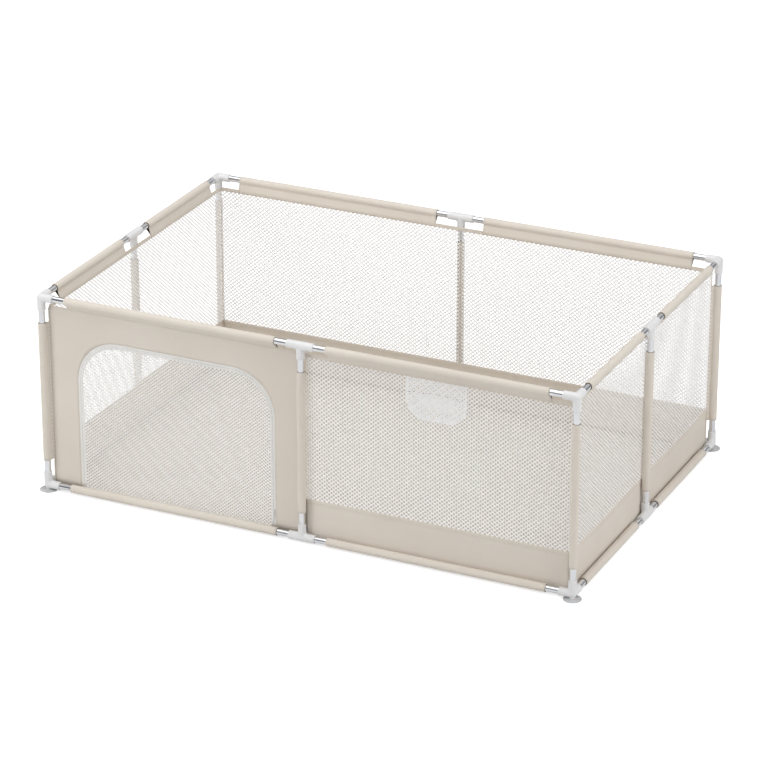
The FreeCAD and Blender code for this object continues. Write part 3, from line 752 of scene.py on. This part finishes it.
DOOR_X = (TAPE_LOW.x + TAPE_HIGH.x) / 2
DOOR_HALF = (TAPE_HIGH.x - TAPE_LOW.x) / 2
DOOR_TOP = TAPE_HIGH.z
DOOR_BASE = TAPE_LOW.z
FLAP_INSET = DOOR_HALF - (FLAP_HIGH.x - FLAP_LOW.x) / 2
TAPE_WIDE = 0.0063
TAPE_LAP = 0.0012  # the door's outline out to the fixed tape's outer edge, under the panel
FLAP_BORDER = 0.0070
STRAIGHT_POINTS, BEND_POINTS, LEVEL_POINTS = 16, 22, 14  # along one side, one corner and the top of the door


def cut_by_corners(radius):
    """The area that two round corners take from a rectangle."""
    return (2 - math.pi / 2) * radius**2


def arch(inset, base=DOOR_BASE):
    """Points (x, z) along the door's outline, inset by a distance, from its lower left to its lower right."""
    half, top, radius = DOOR_HALF - inset, DOOR_TOP - inset, DOOR_ROUND - inset
    shoulder = top - radius
    turn = np.linspace(math.pi, math.pi / 2, BEND_POINTS)
    side_z = np.linspace(base, shoulder, STRAIGHT_POINTS)
    left = np.stack([np.full_like(side_z, -half), side_z], axis=1)
    arc = np.stack([radius - half + radius * np.cos(turn), shoulder + radius * np.sin(turn)], axis=1)
    level_x = np.linspace(radius - half, half - radius, LEVEL_POINTS)
    level = np.stack([level_x, np.full_like(level_x, top)], axis=1)
    half_way = np.concatenate([left[:-1], arc[:-1]])
    right_arc = arc[::-1] * (-1, 1)
    right = left[::-1] * (-1, 1)
    points = np.concatenate([half_way, level, right_arc[1:], right[1:]])
    return points + (DOOR_X, 0)


def arch_band(near, far, columns, base=DOOR_BASE):
    """A grid of (x, z) between two insets of the door's outline."""
    inner, outer = arch(near, base), arch(far, base)
    mix = np.linspace(0, 1, columns)[None, :, None]
    return inner[:, None] * (1 - mix) + outer[:, None] * mix


def on_front(xz, out=0.0):
    return front.on_wall(xz[..., 0], out, xz[..., 1])


PANEL_CLEAR = 0.0005  # the door's outline out to the edge of the panel's opening
PANEL_GAP = 0.0004  # the panel's right edge to the middle of the front side
PANEL_DROP = 0.0280  # rail's axis down to the panel's top edge
PANEL_OVER = 0.0024  # how far its top edge stands out, over the fold of the sleeve
PANEL_SEAMS = (0.0022, 0.0052)  # the door's outline out to the rows of stitches

# the panel: a grid from the opening's edge out to the panel's left, top and right sides
opening = arch(-PANEL_CLEAR)
left_x, right_x, top_z = -WALL_X, -PANEL_GAP, TOP_RAIL - PANEL_DROP
shoulder_z = opening[STRAIGHT_POINTS - 1, 1]
left_inner = opening[STRAIGHT_POINTS + BEND_POINTS - 2, 0]
right_inner = 2 * DOOR_X - left_inner


def corner_path(side_x, inner_edge):
    """The panel's outer edge beside one rounded corner of the door: up its side, then along its top."""
    tall, wide = top_z - shoulder_z, abs(inner_edge - side_x)
    path = np.linspace(0, 1, BEND_POINTS) * (tall + wide)
    x = side_x + np.sign(inner_edge - side_x) * np.clip(path - tall, 0, None)
    z = shoulder_z + np.clip(path, 0, tall)
    return np.stack([x, z], axis=1)


left_z = opening[: STRAIGHT_POINTS - 1, 1]
right_z = opening[-STRAIGHT_POINTS:, 1]
level_x = np.linspace(left_inner, right_inner, LEVEL_POINTS)
outer = np.concatenate([
    np.stack([np.full_like(left_z, left_x), left_z], axis=1),
    corner_path(left_x, left_inner)[:-1],
    np.stack([level_x, np.full_like(level_x, top_z)], axis=1)[:-1],
    corner_path(right_x, right_inner)[:0:-1],
    np.stack([np.full_like(right_z, right_x), right_z], axis=1),
])
mix = np.linspace(0, 1, 14)[None, :, None]
panel_xz = opening[:, None] * (1 - mix) + outer[:, None] * mix
panel_wave = crumple(12 * panel_xz[..., 0], 14 * panel_xz[..., 1], seed=51, waves=7)
panel_slack = 0.0008 * np.sin(math.pi * mix[..., 0]) * panel_wave
panel_slack = panel_slack + PANEL_OVER * smooth_step((panel_xz[..., 1] - NET_TOP + 0.012) / 0.010)
panel_grid = on_front(panel_xz, panel_slack)
panel_flat = (right_x - left_x, top_z - DOOR_BASE)
opening_area = 2 * DOOR_HALF * (DOOR_TOP - DOOR_BASE) - cut_by_corners(DOOR_ROUND)
panel_area = panel_flat[0] * panel_flat[1] - opening_area
cloth("cloth_door_panel", panel_grid, CLOTH, panel_flat, ["front_door_panel"], area=panel_area)
sill = wall_grid(front, np.linspace(left_x, right_x, 70), np.linspace(WALL_BASE, DOOR_BASE + 0.0008, 5))
cloth("cloth_door_sill", sill, CLOTH, (right_x - left_x, DOOR_BASE - WALL_BASE), ["front_door_panel"])
for distance in PANEL_SEAMS:
    edge = arch(-distance)
    for out, way in ((CLOTH / 2, 1), (-CLOTH / 2, -1)):
        seam(on_front(edge, out), front.outward * way)

# the zip: a tape on the panel, a tape and border on the flap, and a row of teeth on each
GREY = {"material": TAPE, "slot": "grey_tape"}
run_length = length_of(arch(0))
tape_grid = on_front(arch_band(-TAPE_LAP, TAPE_WIDE, 6))
cloth("zip_tape_fixed", tape_grid, TAPE_THICK, (TAPE_WIDE + TAPE_LAP, run_length), ["zip_tape"], **GREY)
flap_base = FLAP_LOW.z
border_grid = on_front(arch_band(FLAP_INSET, FLAP_INSET + FLAP_BORDER, 6, flap_base))
border_flat = (FLAP_BORDER, run_length - math.pi * FLAP_INSET)
cloth("zip_tape_flap", border_grid, TAPE_THICK, border_flat, ["door_flap"], body="door", **GREY)
TOOTH = (0.0011, 0.0026, 0.0018)  # along, across and high
TOOTH_PITCH = 0.0024
TOOTH_ASIDE = 0.0009  # the zip's middle line to the middle of either row
zip_middle = (TAPE_WIDE + FLAP_INSET) / 2
tooth_line = on_front(arch(zip_middle, flap_base + 0.002), 0.0004)
outward_rows = np.broadcast_to(front.outward, tooth_line.shape)
for name, shift, body in (("zip_teeth_fixed", TOOTH_ASIDE, "yard"), ("zip_teeth_flap", -TOOTH_ASIDE, "door")):
    teeth = lenses(tooth_line, outward_rows, TOOTH_PITCH, TOOTH, sideways=shift)
    piece(join_lenses(name, [teeth], ZIP), body=body)

# the flap's net, inside its border
FLAP_NET_INSET = FLAP_INSET + FLAP_BORDER - 0.003


def inside_flap(x, z):
    half, top, radius = DOOR_HALF - FLAP_NET_INSET, DOOR_TOP - FLAP_NET_INSET, DOOR_ROUND - FLAP_NET_INSET
    across = np.abs(x - DOOR_X)
    past_side = np.clip(across - (half - radius), 0, None)
    above = np.clip(z - (top - radius), 0, None)
    return (across < half) & (z < top) & (np.hypot(past_side, above) < radius) & (z > flap_base + 0.0035)


flap_low, flap_high = (DOOR_X - DOOR_HALF, flap_base), (DOOR_X + DOOR_HALF, DOOR_TOP)
flap_net = net_mesh("net_door_flap", front.on_wall, flap_low, flap_high, inside_flap, DOOR_CELL, NET)
piece(flap_net, ["door_flap"], "door")

# the flap's lower hem, and the cloth hinge between the sill and the hem
FLAP_HALF = DOOR_HALF - FLAP_INSET
HINGE_THICK = 0.0007
HINGE_LAP = 0.006  # how far the hinge runs over the panel and over the flap
hem_x = np.linspace(DOOR_X - FLAP_HALF, DOOR_X + FLAP_HALF, 60)
hem_low, hem_high = flap_base + 0.0012, flap_base + 0.0075
flap_hem = wall_grid(front, hem_x, np.linspace(hem_low, hem_high, 6))
hem_flat = (2 * FLAP_HALF, hem_high - hem_low)
cloth("cloth_flap_hem", flap_hem, TAPE_THICK, hem_flat, ["door_flap"], body="door", **GREY)
hinge_low, hinge_high = DOOR_BASE - HINGE_LAP, flap_base + HINGE_LAP
hinge_grid = wall_grid(front, hem_x, np.linspace(hinge_low, hinge_high, 14))
hinge = thick_cloth("cloth_door_hinge", hinge_grid, HINGE_THICK, TAPE)
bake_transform(hinge)

# -------- pocket
POCKET_X = (POCKET_LOW.x + POCKET_HIGH.x) / 2
POCKET_HALF = (POCKET_HIGH.x - POCKET_LOW.x) / 2
POCKET_ROUND = 0.060
POCKET_LIP = 0.5595  # height of the pouch's upper edge
LIP_TALL = 0.0035
BINDING_WIDE = 0.0045
BINDING_THICK = 0.0012
BACKING_IN, BINDING_IN, POUCH_IN = 0.0014, 0.0022, 0.0026  # wall's middle in to each
POUCH_BULGE = POCKET_HIGH.y - POCKET_LOW.y - 0.004
NET_TRIM = 0.0012  # how far the pocket's nets stay inside its outline
POUCH_SHIFT = 0.0021  # how far the pouch's rows of cells are moved from the backing's


def inside_pocket(trim, top):
    """A test for the cells of the pocket's nets, trimmed at its sides and bottom."""

    def test(x, z):
        across = np.abs(x - POCKET_X)
        half, low, radius = POCKET_HALF - trim, POCKET_LOW.z + trim, POCKET_ROUND - trim
        past_side = np.clip(across - (half - radius), 0, None)
        below = np.clip(low + radius - z, 0, None)
        return (across < half) & (z > low) & (z < top) & (np.hypot(past_side, below) < radius)

    return test


def pouch_surface(x, out, z):
    """The pouch bulges inwards between its sewn edges, most at its lip."""
    x, out, z = np.broadcast_arrays(x, out, z)
    across = np.clip(np.abs(x - POCKET_X) / POCKET_HALF, 0, 1)
    rise = np.clip((z - POCKET_LOW.z) / (POCKET_LIP - POCKET_LOW.z), 0, 1)
    bulge = POUCH_BULGE * (1 - across**2) * smooth_step(rise * 1.3)
    return front.on_wall(x, out - POUCH_IN - bulge, z)


def backing_surface(x, out, z):
    return front.on_wall(x, np.asarray(out) - BACKING_IN, z)


for name, surface, top, shift in (
    ("net_pocket_backing", backing_surface, POCKET_HIGH.z, 0.0),
    ("net_pocket_pouch", pouch_surface, POCKET_LIP, POUCH_SHIFT),
):
    start, stop = (POCKET_X - POCKET_HALF + shift, POCKET_LOW.z + shift), (POCKET_X + POCKET_HALF, top)
    made = net_mesh(name, surface, start, stop, inside_pocket(NET_TRIM, top), POCKET_CELL, POCKET_NET)
    piece(made, ["net_pocket"])


def pocket_outline(inset):
    """Points (x, z) round the pocket's sides and bottom, from its upper left to its upper right."""
    half, low, radius = POCKET_HALF - inset, POCKET_LOW.z + inset, POCKET_ROUND - inset
    turn = np.linspace(math.pi, 1.5 * math.pi, 14)
    arc = np.stack([radius - half + radius * np.cos(turn), low + radius + radius * np.sin(turn)], axis=1)
    left = np.stack([np.full(10, -half), np.linspace(POCKET_HIGH.z, low + radius, 10)], axis=1)
    half_way = np.concatenate([left[:-1], arc])
    points = np.concatenate([half_way, half_way[::-1] * (-1, 1)])
    return points + (POCKET_X, 0)


mix = np.linspace(0, 1, 4)[None, :, None]
binding_xz = pocket_outline(0)[:, None] * (1 - mix) + pocket_outline(BINDING_WIDE)[:, None] * mix
binding_grid = front.on_wall(binding_xz[..., 0], -BINDING_IN, binding_xz[..., 1])
binding_flat = (BINDING_WIDE, length_of(pocket_outline(0.002)))
WHITE = {"material": POCKET_NET, "slot": "white_net"}
cloth("cloth_pocket_binding", binding_grid, BINDING_THICK, binding_flat, ["net_pocket"], held="hung", **WHITE)
lip_x = np.linspace(POCKET_X - POCKET_HALF, POCKET_X + POCKET_HALF, 40)
lip_grid = pouch_surface(lip_x[:, None], 0.0, np.linspace(POCKET_LIP - LIP_TALL, POCKET_LIP, 4)[None, :])
lip_flat = (LIP_TALL, 2 * POCKET_HALF)
# the lip's dark colour is painted shade at the pouch's opening
cloth("cloth_pocket_lip", lip_grid, TAPE_THICK, lip_flat, ["net_pocket"], material=LIP_SHADE)

piece(join_lenses("stitches", seams, THREAD))

# -------- floor, light and camera
scene = bpy.context.scene
scene.view_settings.view_transform = "Standard"

FLOOR_TO_CAMERA = 0.62  # glow that makes the floor plain white to the camera
FLOOR_IN_CHROME = 0.12  # glow it has in reflections
FLOOR_HALF = 40.0
floor_shader = Shader("studio_floor", (0.9, 0.9, 0.9), 0.9)
floor_noise = floor_shader.noise(0.7, 2, 0.5)
floor_shader.colour(floor_shader.blend(floor_noise, (0.70, 0.70, 0.70), (0.74, 0.74, 0.74)))
ray = floor_shader.node("ShaderNodeLightPath").outputs
to_camera = floor_shader.math("MULTIPLY", ray["Is Camera Ray"], FLOOR_TO_CAMERA)
to_chrome = floor_shader.math("MULTIPLY", ray["Is Glossy Ray"], FLOOR_IN_CHROME)
glow = floor_shader.math("ADD", to_camera, to_chrome)
floor_shader.shader.inputs["Emission Color"].default_value = (1, 1, 1, 1)
floor_shader.tree.links.new(glow, floor_shader.shader.inputs["Emission Strength"])
floor_corners = [(x * FLOOR_HALF, y * FLOOR_HALF, 0) for x, y in ((-1, -1), (1, -1), (1, 1), (-1, 1))]
studio = mesh_object("studio_floor", floor_corners, [(0, 1, 2, 3)], floor_shader.material)

world = bpy.data.worlds.new("studio")
world.use_nodes = True
scene.world = world
nodes, links = world.node_tree.nodes, world.node_tree.links
direction = nodes.new("ShaderNodeSeparateXYZ")
links.new(nodes.new("ShaderNodeTexCoord").outputs["Generated"], direction.inputs[0])


def arithmetic(operation, *values):
    made = nodes.new("ShaderNodeMath")
    made.operation = operation
    for socket, value in zip(made.inputs, values):
        if isinstance(value, bpy.types.NodeSocket):
            links.new(value, socket)
        else:
            socket.default_value = value
    return made.outputs[0]


# a darker band all round gives the chrome its stripes, and on the left it is wider
BAND = 0.19  # height of its middle, as the sine of the angle above the ground
leftness = nodes.new("ShaderNodeMapRange")
links.new(direction.outputs["X"], leftness.inputs["Value"])
for key, value in {"From Min": -0.46, "From Max": -0.40, "To Min": 0.3, "To Max": 1.0}.items():
    leftness.inputs[key].default_value = value
from_band = arithmetic("SUBTRACT", direction.outputs["Z"], BAND)
sky = nodes.new("ShaderNodeValToRGB")
links.new(arithmetic("MULTIPLY_ADD", from_band, leftness.outputs["Result"], BAND), sky.inputs["Fac"])
sky.color_ramp.elements[0].position = 0.0
sky.color_ramp.elements[0].color = (0.55, 0.55, 0.56, 1)
sky.color_ramp.elements[1].position = 0.7
sky.color_ramp.elements[1].color = (0.86, 0.86, 0.87, 1)
for place, grey in ((0.06, 0.5), (0.12, 0.12), (0.26, 0.12), (0.34, 0.62)):
    stop = sky.color_ramp.elements.new(place)
    stop.color = (grey, grey, grey, 1)
lit_sky = nodes["Background"]
lit_sky.inputs["Strength"].default_value = 0.8
links.new(sky.outputs["Color"], lit_sky.inputs["Color"])
# the camera sees plain white in its place
white_sky = nodes.new("ShaderNodeBackground")
white_sky.inputs["Color"].default_value = (1, 1, 1, 1)
white_sky.inputs["Strength"].default_value = 1.0
choose = nodes.new("ShaderNodeMixShader")
links.new(nodes.new("ShaderNodeLightPath").outputs["Is Camera Ray"], choose.inputs["Fac"])
links.new(lit_sky.outputs[0], choose.inputs[1])
links.new(white_sky.outputs[0], choose.inputs[2])
links.new(choose.outputs[0], nodes["World Output"].inputs["Surface"])


LIT_POINT = Vector((0, 0, 0.3))


def soft_light(name, place, size, power, in_reflections=True):
    """A square lamp that faces the yard. One kept out of reflections leaves the chrome its dark stripes."""
    data = bpy.data.lights.new(name, "AREA")
    data.shape = "RECTANGLE"
    data.size = data.size_y = size
    data.energy = power
    lamp = bpy.data.objects.new(name, data)
    lamp.visible_glossy = in_reflections
    lamp.location = place
    lamp.rotation_mode = "QUATERNION"
    lamp.rotation_quaternion = (LIT_POINT - Vector(place)).to_track_quat("-Z", "Y")
    scene.collection.objects.link(lamp)


soft_light("overhead", (-0.8, -0.5, 5.0), size=5.0, power=105)
soft_light("front_left", (-4.5, -5.5, 2.6), size=3.0, power=168, in_reflections=False)
soft_light("right_fill", (6.0, -1.0, 2.0), size=3.0, power=105)

AZIMUTH, ELEVATION = math.radians(25.208), math.radians(23.641)
DISTANCE = 11.152
TARGET = Vector((-0.0148, 0.0, 0.3032))
LEVEL = math.cos(ELEVATION)
back_way = Vector((math.sin(AZIMUTH) * LEVEL, -math.cos(AZIMUTH) * LEVEL, math.sin(ELEVATION)))
camera = bpy.data.objects.new("camera", bpy.data.cameras.new("camera"))
camera.data.sensor_width = 36
camera.data.lens = 168.36
camera.data.clip_end = 100
camera.location = TARGET + back_way * DISTANCE
camera.rotation_mode = "QUATERNION"
camera.rotation_quaternion = (-back_way).to_track_quat("-Z", "Y")
scene.collection.objects.link(camera)
scene.camera = camera
